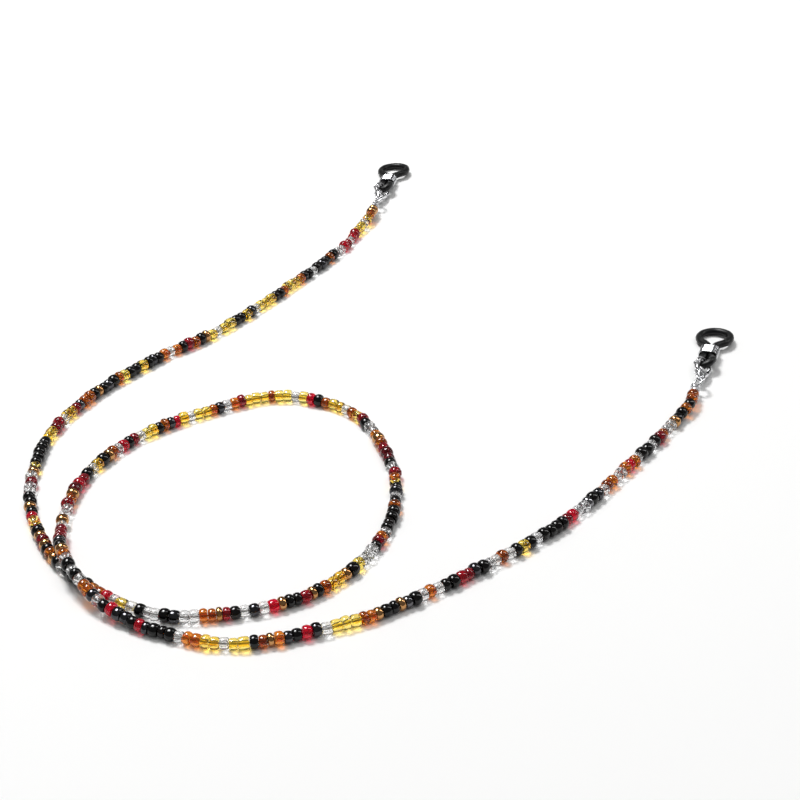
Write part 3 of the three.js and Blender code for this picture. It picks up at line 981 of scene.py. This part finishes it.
def make_floor():
    mesh = bpy.data.meshes.new("floor")
    half = FLOOR_SIZE / 2
    corners = [(-half, -half, 0), (half, -half, 0), (half, half, 0), (-half, half, 0)]
    mesh.from_pydata(corners, [], [(0, 1, 2, 3)])
    floor = bpy.data.objects.new("floor", mesh)
    bpy.context.scene.collection.objects.link(floor)
    mesh.materials.append(floor_look().material)


# ---------------------------------------------------------------- the strap

MATERIALS = {
    look.name: look.material
    for look in (
        thread_look(),
        opaque_glass(
            "bead_black",
            dark=(0.0005, 0.0005, 0.0005),
            light=(0.005, 0.0025, 0.0025),
            roughness=(0.02, 0.06),
            specular=0.33,
        ),
        opaque_glass(
            "bead_hematite",
            dark=(0.038, 0.038, 0.042),
            light=(0.22, 0.217, 0.23),
            roughness=(0.02, 0.06),
            metallic=1.0,
        ),
        opaque_glass(
            "bead_bronze",
            dark=(0.43, 0.21, 0.075),
            light=(0.85, 0.52, 0.26),
            roughness=(0.04, 0.1),
            metallic=1.0,
        ),
        clear_glass(
            "bead_amber",
            pale=(1.0, 0.88, 0.27),
            middle=(1.0, 0.79, 0.14),
            deep=(0.94, 0.62, 0.07),
            shadow=(0.5, 0.4, 0.2),
        ),
        clear_glass(
            "bead_crystal",
            pale=(0.94, 0.94, 0.93),
            middle=(0.88, 0.88, 0.88),
            deep=(0.78, 0.78, 0.79),
            shadow=(0.42, 0.42, 0.42),
            transmission=0.94,
            roughness=(0.08, 0.18),
        ),
        clear_glass(
            "bead_copper",
            pale=(0.9, 0.31, 0.028),
            middle=(0.7, 0.195, 0.013),
            deep=(0.44, 0.088, 0.006),
            shadow=(0.38, 0.26, 0.12),
            transmission=0.88,
            specular=0.4,
        ),
        clear_glass(
            "bead_ruby",
            pale=(0.9, 0.006, 0.05),
            middle=(0.72, 0.003, 0.03),
            deep=(0.36, 0.002, 0.012),
            shadow=(0.32, 0.17, 0.18),
            transmission=0.7,
            specular=0.35,
        ),
        clear_glass(
            "bead_garnet",
            pale=(0.5, 0.012, 0.03),
            middle=(0.36, 0.008, 0.02),
            deep=(0.15, 0.005, 0.01),
            shadow=(0.25, 0.08, 0.08),
            transmission=0.75,
            specular=0.35,
        ),
        steel("dull_steel", colour=(0.5, 0.5, 0.515), roughness=(0.25, 0.4), scratch=0.02 * MM),
        steel("ring_steel", colour=(0.66, 0.665, 0.68), roughness=(0.06, 0.14), scratch=0.006 * MM),
        steel("clasp_steel", colour=(0.7, 0.7, 0.715), roughness=(0.08, 0.18), scratch=0.004 * MM),
        steel("coil_wire", colour=(0.62, 0.625, 0.64), roughness=(0.06, 0.14), scratch=0.006 * MM),
        rubber(),
    )
}

make_camera()
thread, thread_length = make_thread()
attach(thread, "strand", "beading_thread", "thread")
beads = make_beads()
for kind, group in beads.items():
    attach(group, "strand", "bead_strand", f"bead_{kind}")
for side in SIDES:
    where = link_places(side)
    make_bead_tip(side, where["tip"])
    make_crimp(side, where["tip"])
    make_jump_ring(side, where["ring"])
    make_clasp_body(side, where["clasp"])
    make_lever(side, where["clasp"])
    make_rivet(side, where["clasp"])
    make_spring(side, where["clasp"])
    make_rubber_loop(side, where["loop"])
    make_coil(side, where["loop"])
make_light()
make_floor()
